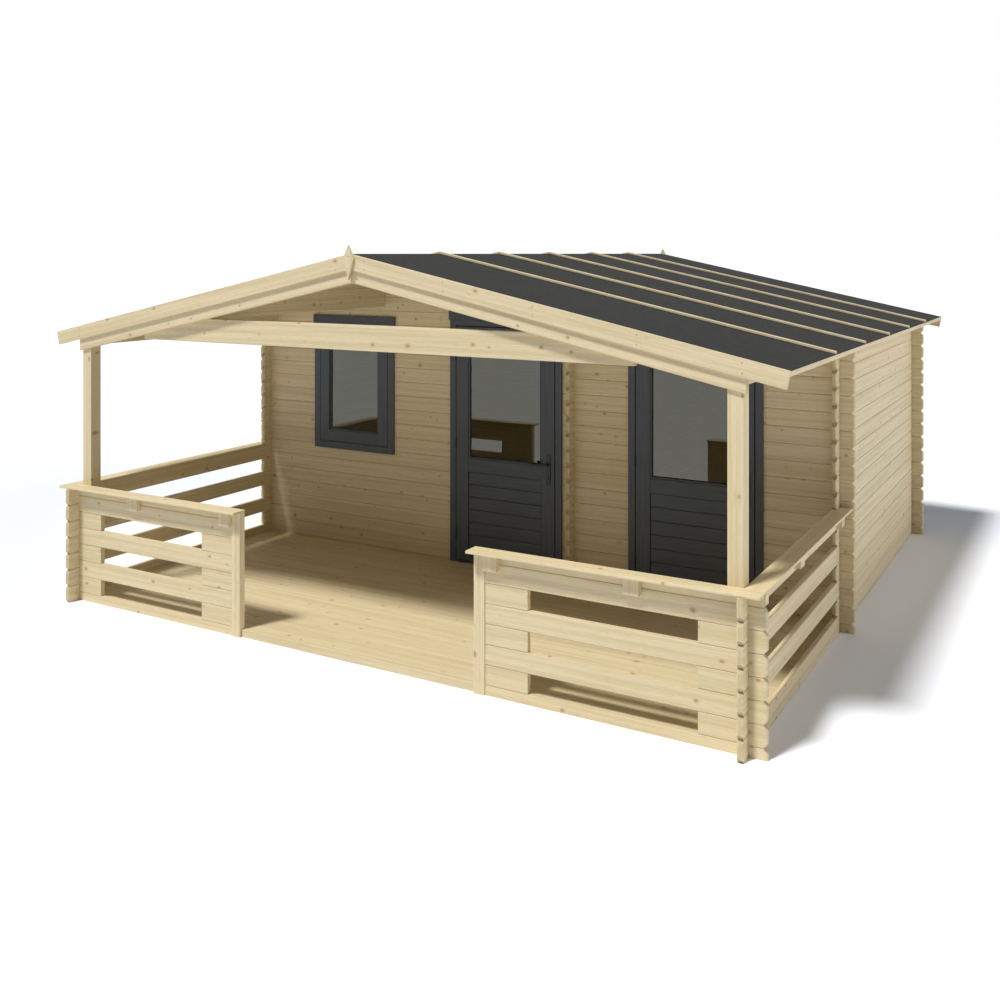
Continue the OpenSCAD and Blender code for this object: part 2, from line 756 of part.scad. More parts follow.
// Heights of the hinges' middles
function hinge_z(i) = leaf_z + hinge_inset
    + i * (leaf_top - leaf_z - 2 * hinge_inset) / (hinge_count - 1);
module door_fittings() {
    color(iron_black) {
        for (y = [leaf_y - plate_t, leaf_y + leaf_t])
            translate([lever_x, 0, lever_z]) along_y(y, y + plate_t) plate_shape();
        for (i = [0 : hinge_count - 1]) translate([hinge_x, hinge_y, hinge_z(i) + hinge_gap]) difference() {
            union() {
                cylinder(d = hinge_d, h = hinge_h);
                translate([door_gap / 2 - hinge_t, 0, 0]) cube([hinge_t, leaf_y - hinge_y + hinge_l, hinge_h]);
            }
            translate([0, 0, -over]) cylinder(d = pin_d + 2 * turn_gap, h = hinge_h);
        }
    }
}
module hinge_half() {
    translate([0, 0, -hinge_h]) cylinder(d = hinge_d, h = hinge_h);
    translate([-door_gap / 2, 0, -hinge_h]) cube([hinge_t, leaf_y - hinge_y + hinge_l, hinge_h]);
    cylinder(d = pin_d, h = hinge_h - 2 * over);
}
module frame_hinges() {
    color(iron_black) for (x = doors) for (i = [0 : hinge_count - 1])
        translate([x + hinge_x, hinge_y, hinge_z(i)]) hinge_half();
}
// Lever handle: one spindle with a grip on either side, pointing to the hinges
module door_lever() {
    reach = plate_t + lever_out;
    color(iron_black) translate([lever_x, leaf_y, lever_z]) {
        translate([0, -reach, 0]) rotate([-90, 0, 0]) cylinder(d = spindle_d, h = leaf_t + 2 * reach);
        for (y = [-reach, leaf_t + turn_gap])
            translate([0, y, 0]) rotate([-90, 0, 0]) cylinder(d = neck_d, h = reach - turn_gap);
        for (y = [-reach, leaf_t + reach]) translate([0, y, 0]) {
            rotate([0, -90, 0]) cylinder(d = lever_d, h = lever_l);
            sphere(d = lever_d);
            translate([-lever_l, 0, 0]) sphere(d = lever_d);
        }
    }
}
module door_glass() { color(glass_grey) door_pane(pane_in); }

module left_door_leaf() { translate([left_door_x, 0, 0]) door_leaf(); }
module left_door_glass() { translate([left_door_x, 0, 0]) door_glass(); }
module left_door_fittings() { translate([left_door_x, 0, 0]) door_fittings(); }
module left_door_lever() { translate([left_door_x, 0, 0]) door_lever(); }
module right_door_leaf() { translate([right_door_x, 0, 0]) door_leaf(); }
module right_door_glass() { translate([right_door_x, 0, 0]) door_glass(); }
module right_door_fittings() { translate([right_door_x, 0, 0]) door_fittings(); }
module right_door_lever() { translate([right_door_x, 0, 0]) door_lever(); }

placed() left_wall();
placed() right_wall();
placed() rear_wall();
placed() partition_wall();
placed() front_wall_left();
placed() front_wall_middle();
placed() front_wall_right();
placed() front_gable();
placed() cabin_floor();
placed() veranda_floor();
placed() floor_joists();
placed() front_railings();
placed() side_railings();
placed() entrance_posts();
placed() entrance_edge();
placed() front_caps();
placed() side_caps();
placed() cap_blocks();
placed() corner_posts();
placed() left_rafter();
placed() right_rafter();
placed() tie_beam();
placed() ridge_purlin();
placed() side_purlins();
placed() eave_beams();
placed() left_roof_boards();
placed() right_roof_boards();
placed() roof_felt();
placed() roof_battens();
placed() left_bargeboards();
placed() right_bargeboards();
placed() finials();
placed() eave_trims();
placed() window_frame();
placed() window_sash();
placed() window_glass();
placed() head_trims();
placed() door_jambs();
placed() door_heads();
placed() door_sills();
placed() frame_hinges();
placed() left_door_leaf();
placed() left_door_glass();
placed() left_door_fittings();
placed() left_door_lever();
placed() right_door_leaf();
placed() right_door_glass();
placed() right_door_fittings();
placed() right_door_lever();
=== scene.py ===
import math

import bmesh
import bpy
from mathutils import Matrix, Vector


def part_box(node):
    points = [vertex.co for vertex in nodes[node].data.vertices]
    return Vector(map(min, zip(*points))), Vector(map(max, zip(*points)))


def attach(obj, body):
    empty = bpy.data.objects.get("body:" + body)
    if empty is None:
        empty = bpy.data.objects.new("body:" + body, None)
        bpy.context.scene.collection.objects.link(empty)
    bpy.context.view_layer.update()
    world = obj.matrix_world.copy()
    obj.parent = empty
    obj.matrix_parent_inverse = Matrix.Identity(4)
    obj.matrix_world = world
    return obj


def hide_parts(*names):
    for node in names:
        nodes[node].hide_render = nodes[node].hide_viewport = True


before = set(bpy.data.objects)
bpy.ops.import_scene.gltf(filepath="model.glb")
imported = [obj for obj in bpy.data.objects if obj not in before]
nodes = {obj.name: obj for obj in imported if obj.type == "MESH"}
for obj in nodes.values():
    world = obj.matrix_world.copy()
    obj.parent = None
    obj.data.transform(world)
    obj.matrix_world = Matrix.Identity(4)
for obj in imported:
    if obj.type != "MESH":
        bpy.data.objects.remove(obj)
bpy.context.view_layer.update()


# Log walls of the cabin and of the railings. Planed spruce logs, 34 mm thick with a 121 mm cover height, laid course
# on course with chamfered joints. At the corners each log is notched half into its neighbours and runs on as a tail
# with notched ends. The side walls start with a whole log, the gable walls with a half log.
log_cover = 0.121
# Half width of the line of painted shade and dust where two logs meet
joint_line = 0.002
pale_sapwood = "E1D2AD"
darker_streak = "D1C096"
late_wood = "BCA171"
pinkish_heart = "D6BB93"
knot_heart = "AC855B"
knot_rim = "966F49"
knot_halo = "C6A677"
sawn_end = "C9B68A"
# Colour of the painted shade, with some dust, in the joints between logs or boards and in the notches of the log
# ends
joint_shade_and_dust = "6E5836"


def linear(hex_colour):
    # One sRGB hex colour as linear red, green, blue and full alpha
    parts = [int(hex_colour[i : i + 2], 16) / 255 for i in (0, 2, 4)]
    return [c / 12.92 if c <= 0.04045 else ((c + 0.055) / 1.055) ** 2.4 for c in parts] + [1.0]


def add(tree, kind, inputs=None, out=0, **settings):
    # A shader node with its settings; a socket among the inputs is linked, a plain value is set. Gives one output.
    made = tree.nodes.new("ShaderNode" + kind)
    for key, value in settings.items():
        setattr(made, key, value)
    for key, value in (inputs or {}).items():
        if isinstance(value, bpy.types.NodeSocket):
            tree.links.new(value, made.inputs[key])
        else:
            made.inputs[key].default_value = value
    return made.outputs[out]


def finish(name, roughness=0.5, ior=1.5, specular=0.5):
    # An empty finish, its node tree and its shader
    made = bpy.data.materials.new(name)
    made.use_nodes = True
    shader = made.node_tree.nodes["Principled BSDF"]
    shader.inputs["Roughness"].default_value = roughness
    shader.inputs["IOR"].default_value = ior
    shader.inputs["Specular IOR Level"].default_value = specular
    return made, made.node_tree, shader


def planed_spruce(name, along, across, cover=1.0, start=0.25, joint=0.0, tone=1.0):
    # Untreated planed spruce: creamy sapwood with long soft streaks, fine late-wood lines that part around small
    # reddish-brown knots, and a slightly different tone on every log or board. Satin, almost matt.
    # along is the way of the grain, across the way in which logs or boards follow each other, joint the half width
    # of the line of painted shade and dust between them, tone how much it has darkened with use.
    along, across = Vector(along).normalized(), Vector(across).normalized()
    turn = Matrix((along, across, along.cross(across)))
    spruce, t, shader = finish(name, ior=1.45, specular=0.35)

    # Every log or board draws its own luck, from its course and from the wall or slope that it is in; walls stand
    # more than 1.1 m apart. The luck shifts the grain, so that no two look alike.
    walls_per_m, wall_shift, spruce_seed = 0.9, 0.48, 3.0
    grain_shift = (9.0, 3.0, 0.7)
    grain = add(t, "Mapping", {0: add(t, "TexCoord", out="Object"), "Rotation": turn.to_euler()})
    place = add(t, "SeparateXYZ", {0: grain}).node.outputs
    row = add(t, "Math", {0: place[1], 1: 1 / cover, 2: -start / cover}, operation="MULTIPLY_ADD")
    course = add(t, "Math", {0: row}, operation="FLOOR")
    wall = add(t, "Math", {0: place[2], 1: walls_per_m, 2: wall_shift}, operation="MULTIPLY_ADD")
    wall = add(t, "Math", {0: wall}, operation="FLOOR")
    luck = add(t, "CombineXYZ", {0: course, 1: wall, 2: spruce_seed})
    luck = add(t, "TexWhiteNoise", {"Vector": luck}, out="Color")
    chance = add(t, "SeparateColor", {0: luck}).node.outputs
    board = add(t, "VectorMath", {0: luck, 1: grain_shift, 2: grain}, operation="MULTIPLY_ADD")

    # Knots: at most one in each cell of 240 by 121 by 75 mm, 11 to 21 mm across, longer with the grain and
    # into the wood
    cell = Vector((0.24, 0.121, 0.075))
    stretch = Vector((0.72, 1.0, 0.3))
    knot_least, knot_spread, no_knot, bare_share = 0.0055, 0.005, 0.0001, 0.5
    spot = add(t, "VectorMath", {0: board, 1: cell}, operation="DIVIDE")
    middle = add(t, "TexVoronoi", {"Vector": spot, "Scale": 1.0, "Randomness": 0.85}, out="Position")
    pick = add(t, "SeparateColor", {0: middle.node.outputs["Color"]}).node.outputs
    offset = add(t, "VectorMath", {0: spot, 1: middle}, operation="SUBTRACT")
    offset = add(t, "VectorMath", {0: offset, 1: cell * stretch}, operation="MULTIPLY")
    away = add(t, "VectorMath", {0: offset}, out="Value", operation="LENGTH")
    size = add(t, "Math", {0: pick[0], 1: 2.0}, operation="POWER")
    size = add(t, "Math", {0: size, 1: knot_spread, 2: knot_least}, operation="MULTIPLY_ADD")
    filled = add(t, "Math", {0: pick[1], 1: bare_share}, operation="GREATER_THAN")
    size = add(t, "Math", {0: size, 1: filled}, operation="MULTIPLY")
    size = add(t, "Math", {0: size, 1: no_knot}, operation="MAXIMUM")
    reach = add(t, "Math", {0: away, 1: size}, operation="DIVIDE")
    near = add(t, "MapRange", {0: reach, 1: 5.0, 2: 0.5, 3: 0.0, 4: -0.7}, interpolation_type="SMOOTHSTEP")
    bent = add(t, "VectorMath", {0: offset, "Scale": near}, operation="SCALE")
    bent = add(t, "VectorMath", {0: bent, 1: (0, 1, 0), 2: board}, operation="MULTIPLY_ADD")

    # Streaks 25 mm wide and over a metre long, late-wood lines 15 mm apart and fibres 7 mm wide and 60 mm long; the
    # lines and fibres, really 3 mm and less, are drawn coarser so that they show
    streaks_per_m, sways_per_m, rings_per_m, fibres_per_m = (0.7, 40, 40), (0.9, 6, 6), (0, 66, 23), (17, 145, 145)
    streak = add(t, "VectorMath", {0: bent, 1: streaks_per_m}, operation="MULTIPLY")
    streak = add(t, "TexNoise", {"Vector": streak, "Scale": 1.0, "Detail": 3.0, "Roughness": 0.55})
    sway = add(t, "VectorMath", {0: bent, 1: sways_per_m}, operation="MULTIPLY")
    sway = add(t, "TexNoise", {"Vector": sway, "Scale": 1.0, "Detail": 1.0})
    rings = add(t, "VectorMath", {0: bent, 1: rings_per_m}, out="Value", operation="DOT_PRODUCT")
    rings = add(t, "Math", {0: sway, 1: 3.0, 2: rings}, operation="MULTIPLY_ADD")
    rings = add(t, "Math", {0: rings, 1: 2 * math.pi}, operation="MULTIPLY")
    rings = add(t, "Math", {0: rings}, operation="SINE")
    rings = add(t, "MapRange", {0: rings, 1: 0.1, 2: 1.0}, interpolation_type="SMOOTHSTEP")
    fibre = add(t, "VectorMath", {0: bent, 1: fibres_per_m}, operation="MULTIPLY")
    fibre = add(t, "TexNoise", {"Vector": fibre, "Scale": 1.0, "Detail": 2.0})

    share = add(t, "MapRange", {0: streak, 1: 0.34, 2: 0.7}, interpolation_type="SMOOTHSTEP")
    colour = add(t, "Mix", {0: share, 6: linear(pale_sapwood), 7: linear(darker_streak)}, out=2, data_type="RGBA")
    share = add(t, "Math", {0: rings, 1: 0.09}, operation="MULTIPLY")
    colour = add(t, "Mix", {0: share, 6: colour, 7: linear(late_wood)}, out=2, data_type="RGBA")
    share = add(t, "MapRange", {0: fibre, 1: 0.42, 2: 0.72, 4: 0.2}, interpolation_type="SMOOTHSTEP")
    colour = add(t, "Mix", {0: share, 6: colour, 7: linear(late_wood)}, out=2, data_type="RGBA")
    share = add(t, "Math", {0: chance[2], 1: 0.22}, operation="MULTIPLY")
    colour = add(t, "Mix", {0: share, 6: colour, 7: linear(pinkish_heart)}, out=2, data_type="RGBA")
    share = add(t, "MapRange", {0: reach, 1: 3.0, 2: 0.9, 4: 0.45}, interpolation_type="SMOOTHSTEP")
    colour = add(t, "Mix", {0: share, 6: colour, 7: linear(knot_halo)}, out=2, data_type="RGBA")
    share = add(t, "MapRange", {0: reach, 1: 1.3, 2: 0.6, 4: 0.7}, interpolation_type="SMOOTHSTEP")
    colour = add(t, "Mix", {0: share, 6: colour, 7: linear(knot_heart)}, out=2, data_type="RGBA")
    inner = add(t, "MapRange", {0: reach, 1: 0.6, 2: 0.95}, interpolation_type="SMOOTHSTEP")
    share = add(t, "MapRange", {0: reach, 1: 1.4, 2: 1.05, 4: 0.4}, interpolation_type="SMOOTHSTEP")
    share = add(t, "Math", {0: inner, 1: share}, operation="MULTIPLY")
    colour = add(t, "Mix", {0: share, 6: colour, 7: linear(knot_rim)}, out=2, data_type="RGBA")

    # Sawn ends show the year rings as arcs, 7 mm apart for the same reason
    end_ring = 0.007
    facing = add(t, "TexCoord", out="Normal")
    facing = add(t, "VectorMath", {0: facing, 1: along}, out="Value", operation="DOT_PRODUCT")
    lengthwise = add(t, "Math", {0: facing}, operation="ABSOLUTE")
    facing = add(t, "MapRange", {0: lengthwise, 1: 0.8, 2: 0.95, 4: 0.75}, interpolation_type="SMOOTHSTEP")
    pith = add(t, "VectorMath", {0: board, 1: (0, 1, 1)}, operation="MULTIPLY")
    pith = add(t, "VectorMath", {0: pith}, out="Value", operation="LENGTH")
    pith = add(t, "Math", {0: pith, 1: 2 * math.pi / end_ring}, operation="MULTIPLY")
    pith = add(t, "Math", {0: pith}, operation="SINE")
    share = add(t, "MapRange", {0: pith, 1: -0.2, 2: 1.0, 4: 0.35}, interpolation_type="SMOOTHSTEP")
    end = add(t, "Mix", {0: share, 6: linear(sawn_end), 7: linear(late_wood)}, out=2, data_type="RGBA")
    colour = add(t, "Mix", {0: facing, 6: colour, 7: end}, out=2, data_type="RGBA")

    if joint:
        # Painted shade and dust: the line where two logs or boards meet is painted darker, on their faces only, for
        # the shade and the dust in the joint. The notches of the log ends, whose faces lean both ways, are painted
        # darker as painted shade, for the shadow of the lip above them.
        upper = add(t, "TexCoord", out="Normal")
        upper = add(t, "VectorMath", {0: upper, 1: across}, out="Value", operation="DOT_PRODUCT")
        upper = add(t, "Math", {0: upper}, operation="ABSOLUTE")
        painted_notch_shade = add(t, "Math", {0: upper, 1: lengthwise}, operation="MULTIPLY")
        painted_notch_shade = add(t, "MapRange", {0: painted_notch_shade, 1: 0.25, 2: 0.45, 4: 0.33}, interpolation_type="SMOOTHSTEP")
        upper = add(t, "Math", {0: upper, 1: 0.9}, operation="LESS_THAN")
        edge = add(t, "Math", {0: row}, operation="FRACT")
        edge = add(t, "Math", {0: edge, 1: -0.5}, operation="ADD")
        edge = add(t, "Math", {0: edge}, operation="ABSOLUTE")
        limits = {1: 0.5 - 1.6 * joint / cover, 2: 0.5 - 0.5 * joint / cover, 4: 0.28}
        edge = add(t, "MapRange", {0: edge, **limits}, interpolation_type="SMOOTHSTEP")
        edge = add(t, "Math", {0: edge, 1: upper}, operation="MULTIPLY")
        edge = add(t, "Math", {0: edge, 1: painted_notch_shade}, operation="MAXIMUM")
        colour = add(t, "Mix", {0: edge, 6: colour, 7: linear(joint_shade_and_dust)}, out=2, data_type="RGBA")
    tone = add(t, "Math", {0: chance[1], 1: 0.06 * tone, 2: 0.97 * tone}, operation="MULTIPLY_ADD")
    colour = add(t, "VectorMath", {0: colour, "Scale": tone}, operation="SCALE")
    t.links.new(colour, shader.inputs["Base Color"])
    rough = add(t, "Math", {0: streak, 1: 0.2, 2: 0.48}, operation="MULTIPLY_ADD")
    t.links.new(rough, shader.inputs["Roughness"])
    relief = add(t, "Math", {0: rings, 1: -0.6, 2: fibre}, operation="MULTIPLY_ADD")
    bump = add(t, "Bump", {"Height": relief, "Strength": 0.25, "Distance": 0.0006})
    t.links.new(bump, shader.inputs["Normal"])
    return spruce


def dress(material, *names):
    # A CAD node keeps its shape and takes one finish all over
    for name in names:
        nodes[name].data.materials.clear()
        nodes[name].data.materials.append(material)


gable_spruce = planed_spruce("planed_spruce_gable_logs", (1, 0, 0), (0, 0, 1), log_cover, log_cover / 2, joint_line)
side_spruce = planed_spruce("planed_spruce_side_logs", (0, 1, 0), (0, 0, 1), log_cover, 0.0, joint_line)
dress(gable_spruce, "rear_wall", "front_wall_left", "front_wall_middle", "front_wall_right", "front_gable",
      "front_railings")
dress(side_spruce, "left_wall", "right_wall", "partition_wall", "side_railings")


# Posts, caps and blocks of the railing. The entrance posts close the log panels, the caps lie on the top logs and on
# blocks screwed to the outside. Planed spruce with rounded edges, so that hands slide over them.
cap_ease = 0.005
post_ease = 0.003
sharp_edge = math.radians(25)
flat_edge = math.radians(1)
weld = 1e-5


def piece(name, bm, material, body="shed", stands_for=()):
    # A mesh becomes a piece of the part that rides on one body and can stand for CAD nodes
    mesh = bpy.data.meshes.new(name)
    bm.to_mesh(mesh)
    bm.free()
    mesh.materials.append(material)
    made = bpy.data.objects.new(name, mesh)
    bpy.context.scene.collection.objects.link(made)
    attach(made, body)
    if stands_for:
        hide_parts(*stands_for)


def ease_edges(bm, ease, steps=2):
    # Rounds every edge where two faces meet sharply
    sharp = [e for e in bm.edges if len(e.link_faces) == 2 and e.calc_face_angle() > sharp_edge]
    bmesh.ops.bevel(bm, geom=sharp, offset=ease, segments=steps, profile=0.5, affect="EDGES", clamp_overlap=True)


def eased(node, ease, material):
    # The CAD solid again with its edges rounded over
    bm = bmesh.new()
    bm.from_mesh(nodes[node].data)
    bmesh.ops.remove_doubles(bm, verts=bm.verts, dist=weld)
    bmesh.ops.dissolve_limit(bm, angle_limit=flat_edge, verts=bm.verts, edges=bm.edges)
    ease_edges(bm, ease)
    piece(node + "_eased", bm, material, stands_for=[node])


upright_spruce = planed_spruce("planed_spruce_upright", (0, 0, 1), (1, 0, 0))
cross_spruce = planed_spruce("planed_spruce_across", (1, 0, 0), (0, 1, 0))
length_spruce = planed_spruce("planed_spruce_lengthwise", (0, 1, 0), (1, 0, 0))
eased("entrance_posts", post_ease, upright_spruce)
eased("cap_blocks", post_ease, upright_spruce)
eased("front_caps", cap_ease, cross_spruce)
eased("side_caps", cap_ease, length_spruce)


# Timbers that carry the roof: square corner posts on the veranda floor, the rafter pair over the front railing, the
# tie beam behind it, the purlins that run through to the rear wall, and the eave beams. Planed spruce, screwed.
roof_pitch = math.radians(12.0)
fall = math.tan(roof_pitch)
timber_ease = 0.0035
# Above this height every timber of the roof keeps one tone over its whole depth
timber_start = 0.7
right_slope = planed_spruce("planed_spruce_right_slope", (1, 0, -fall), (fall, 0, 1), start=timber_start)
left_slope = planed_spruce("planed_spruce_left_slope", (1, 0, fall), (-fall, 0, 1), start=timber_start)
tie_spruce = planed_spruce("planed_spruce_tie", (1, 0, 0), (0, 0, 1), start=timber_start)
purlin_spruce = planed_spruce("planed_spruce_purlins", (0, 1, 0), (0, 0, 1), start=timber_start)
eased("corner_posts", timber_ease, upright_spruce)
eased("right_rafter", timber_ease, right_slope)
eased("left_rafter", timber_ease, left_slope)
eased("tie_beam", timber_ease, tie_spruce)
for node in ("ridge_purlin", "side_purlins", "eave_beams"):
    eased(node, timber_ease, purlin_spruce)


# Roof boards: tongued and grooved spruce boards, 19 mm thick with a 96 mm cover, nailed from the ridge down to the
# eaves, with a V along each joint that shows from below.
roof_board_t = 0.019
roof_board_cover = 0.096
board_v = 0.004


def block(bm, low, high):
    # One squared board or timber between two corners
    middle = [(a + b) / 2 for a, b in zip(low, high)]
    size = [b - a for a, b in zip(low, high)]
    bmesh.ops.create_cube(bm, size=1.0, matrix=Matrix.Translation(middle) @ Matrix.Diagonal((*size, 1.0)))


for side, sign in (("right", 1), ("left", -1)):
    node = side + "_roof_boards"
    low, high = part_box(node)
    count = round((high.y - low.y) / roof_board_cover)
    cover = (high.y - low.y) / count
    bm = bmesh.new()
    for i in range(count):
        block(bm, (low.x, low.y + i * cover, 0), (high.x, low.y + (i + 1) * cover, roof_board_t))
    ease_edges(bm, board_v, 1)
    # Laid flat so far: now sheared down from the ridge, with upright ends that meet there
    underside = high.z - roof_board_t / math.cos(roof_pitch)
    lean = (-sign * fall, 0, 1 / math.cos(roof_pitch), underside)
    shear = Matrix(((1, 0, 0, 0), (0, 1, 0, 0), lean, (0, 0, 0, 1)))
    bmesh.ops.transform(bm, matrix=shear, verts=bm.verts)
    material = planed_spruce("planed_spruce_" + node, (1, 0, -sign * fall), (0, 1, 0), cover, low.y)
    piece(node + "_laid", bm, material, stands_for=[node])


# Roofing felt: sheets of bitumen felt from eave to eave, 4 mm thick and faced with dark slate chippings. They are
# laid over the boards and nailed down under the battens.
felt_grey = "262625"
felt_light = "353533"
felt_dust = "302E2B"


def mineral_felt():
    # Bitumen felt with a dark slate chipping: flat charcoal grey with a fine speckle, a little dusty in patches
    # 400 mm wide. Real chippings are 1 to 2 mm; they are drawn 7 mm wide so that they show.
    chip_w, patch_w = 0.007, 0.4
    made, t, shader = finish("mineral_roofing_felt", 0.93, 1.5, 0.15)
    here = add(t, "TexCoord", out="Object")
    chips = add(t, "TexVoronoi", {"Vector": here, "Scale": 1 / chip_w}, out="Color")
    chips = add(t, "SeparateColor", {0: chips})
    share = add(t, "MapRange", {0: chips, 1: 0.55, 2: 1.0}, interpolation_type="SMOOTHSTEP")
    colour = add(t, "Mix", {0: share, 6: linear(felt_grey), 7: linear(felt_light)}, out=2, data_type="RGBA")
    patches = add(t, "TexNoise", {"Vector": here, "Scale": 1 / patch_w, "Detail": 4.0})
    share = add(t, "MapRange", {0: patches, 1: 0.45, 2: 0.7, 4: 0.5}, interpolation_type="SMOOTHSTEP")
    colour = add(t, "Mix", {0: share, 6: colour, 7: linear(felt_dust)}, out=2, data_type="RGBA")
    t.links.new(colour, shader.inputs["Base Color"])
    height = add(t, "Math", {0: patches, 1: 6.0, 2: chips}, operation="MULTIPLY_ADD")
    bump = add(t, "Bump", {"Height": height, "Strength": 0.4, "Distance": 0.0015})
    t.links.new(bump, shader.inputs["Normal"])
    return made


dress(mineral_felt(), "roof_felt")


# Battens over the felt, trims along the eaves, bargeboards at both gables and a finial over each ridge end. Thin
# planed spruce, nailed or screwed on through the face.
trim_ease = 0.0025
eased("roof_battens", trim_ease, cross_spruce)
eased("eave_trims", trim_ease, length_spruce)
eased("right_bargeboards", trim_ease, right_slope)
eased("left_bargeboards", trim_ease, left_slope)
eased("finials", trim_ease, upright_spruce)


# Floors: tongued and grooved boards across the shed, 20 mm thick with a 116 mm cover, cut around the entrance posts
# and the partition's log ends, on joists. A board on edge closes the front between the entrance posts.
floor_cover = 0.1165
floor_ease = 0.0015
# Half width of the line of painted shade and dust where two floor boards meet
floor_joint = 0.0012
floor_tone = 0.94
sliver = 0.003
touch = 1e-4


def around(low, high, holes):
    # The boards of one row between two corners, stopped short where a hole reaches into the row
    inside = [h for h in holes if h[0].y < high.y - touch and h[1].y > low.y + touch]
    stops = sorted({low.x, high.x, *(x for h in inside for x in (h[0].x, h[1].x) if low.x < x < high.x)})
    for a, b in zip(stops, stops[1:]):
        y0, y1 = low.y, high.y
        for h in inside:
            if h[0].x <= a and b <= h[1].x:
                y0, y1 = (h[1].y, y1) if h[0].y <= low.y else (y0, h[0].y)
        if y1 - y0 > sliver:
            yield Vector((a, y0, low.z)), Vector((b, y1, high.z))


def islands(node):
    # Corners of each separate solid in a CAD node
    bm = bmesh.new()
    bm.from_mesh(nodes[node].data)
    bmesh.ops.remove_doubles(bm, verts=bm.verts, dist=weld)
    left = dict.fromkeys(bm.verts)
    while left:
        group, edge = {}, [next(iter(left))]
        while edge:
            v = edge.pop()
            if v not in group:
                group[v] = left.pop(v)
                edge += [e.other_vert(v) for e in v.link_edges]
        yield (Vector(min(v.co[i] for v in group) for i in range(3)),
               Vector(max(v.co[i] for v in group) for i in range(3)))
    bm.free()


partition_low, partition_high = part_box("partition_wall")
posts = list(islands("entrance_posts"))
for node in ("veranda_floor", "cabin_floor"):
    bm = bmesh.new()
    for low, high in islands(node):
        count = round((high.y - low.y) / floor_cover)
        cover = (high.y - low.y) / count
        for i in range(count):
            row_low = Vector((low.x, low.y + i * cover, low.z))
            row_high = Vector((high.x, low.y + (i + 1) * cover, high.z))
            for a, b in around(row_low, row_high, posts + [(partition_low, partition_high)]):
                block(bm, a, b)
    ease_edges(bm, floor_ease, 1)
    boards = planed_spruce("planed_spruce_" + node, (1, 0, 0), (0, 1, 0), cover, low.y, floor_joint, floor_tone)
    piece(node + "_laid", bm, boards, stands_for=[node])
eased("entrance_edge", timber_ease, cross_spruce)
eased("floor_joists", timber_ease, length_spruce)


# Window: a frame gripped around the logs, a fixed sash in it, and a pane held by beads and a black gasket. Softwood
# painted anthracite.
paint_grey = "42474B"
paint_light = "4B5053"
gasket_black = "0E0F10"
gasket_bloom = "1A1B1C"
pane_tint = "84827B"
pane_deep = "7E7C75"
pane_sheen = "FFFBEA"
pane_groove = 0.010
paint_ease = 0.002
bead_w = 0.014
bead_d = 0.011
bead_ease = 0.003
gasket_w = 0.006
gasket_d = 0.003


def anthracite_paint(name, along):
    # Factory-sprayed opaque paint on softwood: dark blue-grey, silk gloss, the grain just showing as relief.
    # The grain lines are drawn 8 mm apart and 300 mm long; the real ones, 3 mm apart, are too fine to show.
    grain_l, grain_w = 0.3, 0.008
    made, t, shader = finish("anthracite_paint_" + name, 0.42, 1.5, 0.4)
    stretch = [1 / grain_l if a else 1 / grain_w for a in along]
    grain = add(t, "VectorMath", {0: add(t, "TexCoord", out="Object"), 1: stretch}, operation="MULTIPLY")
    grain = add(t, "TexNoise", {"Vector": grain, "Scale": 1.0, "Detail": 3.0})
    share = add(t, "MapRange", {0: grain, 1: 0.35, 2: 0.7}, interpolation_type="SMOOTHSTEP")
    colour = add(t, "Mix", {0: share, 6: linear(paint_grey), 7: linear(paint_light)}, out=2, data_type="RGBA")
    t.links.new(colour, shader.inputs["Base Color"])
    rough = add(t, "Math", {0: grain, 1: 0.25, 2: 0.32}, operation="MULTIPLY_ADD")
    t.links.new(rough, shader.inputs["Roughness"])
    bump = add(t, "Bump", {"Height": grain, "Strength": 0.3, "Distance": 0.0005})
    t.links.new(bump, shader.inputs["Normal"])
    return made


def rubber():
    # Black glazing rubber, matt with a faint bloom in patches about 30 mm wide
    bloom_w = 0.03
    made, t, shader = finish("black_glazing_rubber", 0.75, 1.5, 0.3)
    bloom = add(t, "TexNoise", {"Vector": add(t, "TexCoord", out="Object"), "Scale": 1 / bloom_w, "Detail": 2.0})
    colour = add(t, "Mix", {0: bloom, 6: linear(gasket_black), 7: linear(gasket_bloom)}, out=2, data_type="RGBA")
    t.links.new(colour, shader.inputs["Base Color"])
    return made


def float_glass():
    # Double glazing with a heat-reflecting coating: clear, a little grey, and a warm mirror for the bright ground in
    # front. It mirrors over twice as strongly as bare glass, so the IOR is that of the coating. The tint drifts very
    # slightly across half a metre, as in real glass.
    coating_ior, drift_w = 1.92, 0.5
    made, t, shader = finish("coated_float_glass", 0.0, coating_ior)
    drift = add(t, "TexNoise", {"Vector": add(t, "TexCoord", out="Object"), "Scale": 1 / drift_w, "Detail": 0.0})
    colour = add(t, "Mix", {0: drift, 6: linear(pane_tint), 7: linear(pane_deep)}, out=2, data_type="RGBA")
    t.links.new(colour, shader.inputs["Base Color"])
    shader.inputs["Transmission Weight"].default_value = 1.0
    shader.inputs["Specular Tint"].default_value = linear(pane_sheen)
    return made


def mitred(bm, low, high, width, y0, y1):
    # Four strips with mitred corners inside an opening given by two corners, from y0 to y1
    outer = [(low.x, low.z), (high.x, low.z), (high.x, high.z), (low.x, high.z)]
    inner = [(low.x + width, low.z + width), (high.x - width, low.z + width),
             (high.x - width, high.z - width), (low.x + width, high.z - width)]
    for i in range(4):
        j = (i + 1) % 4
        section = [outer[i], outer[j], inner[j], inner[i]]
        front = [bm.verts.new((x, y0, z)) for x, z in section]
        back = [bm.verts.new((x, y1, z)) for x, z in section]
        bm.faces.new(front)
        bm.faces.new(back[::-1])
        for k in range(4):
            m = (k + 1) % 4
            bm.faces.new((front[m], front[k], back[k], back[m]))
    bmesh.ops.recalc_face_normals(bm, faces=bm.faces)


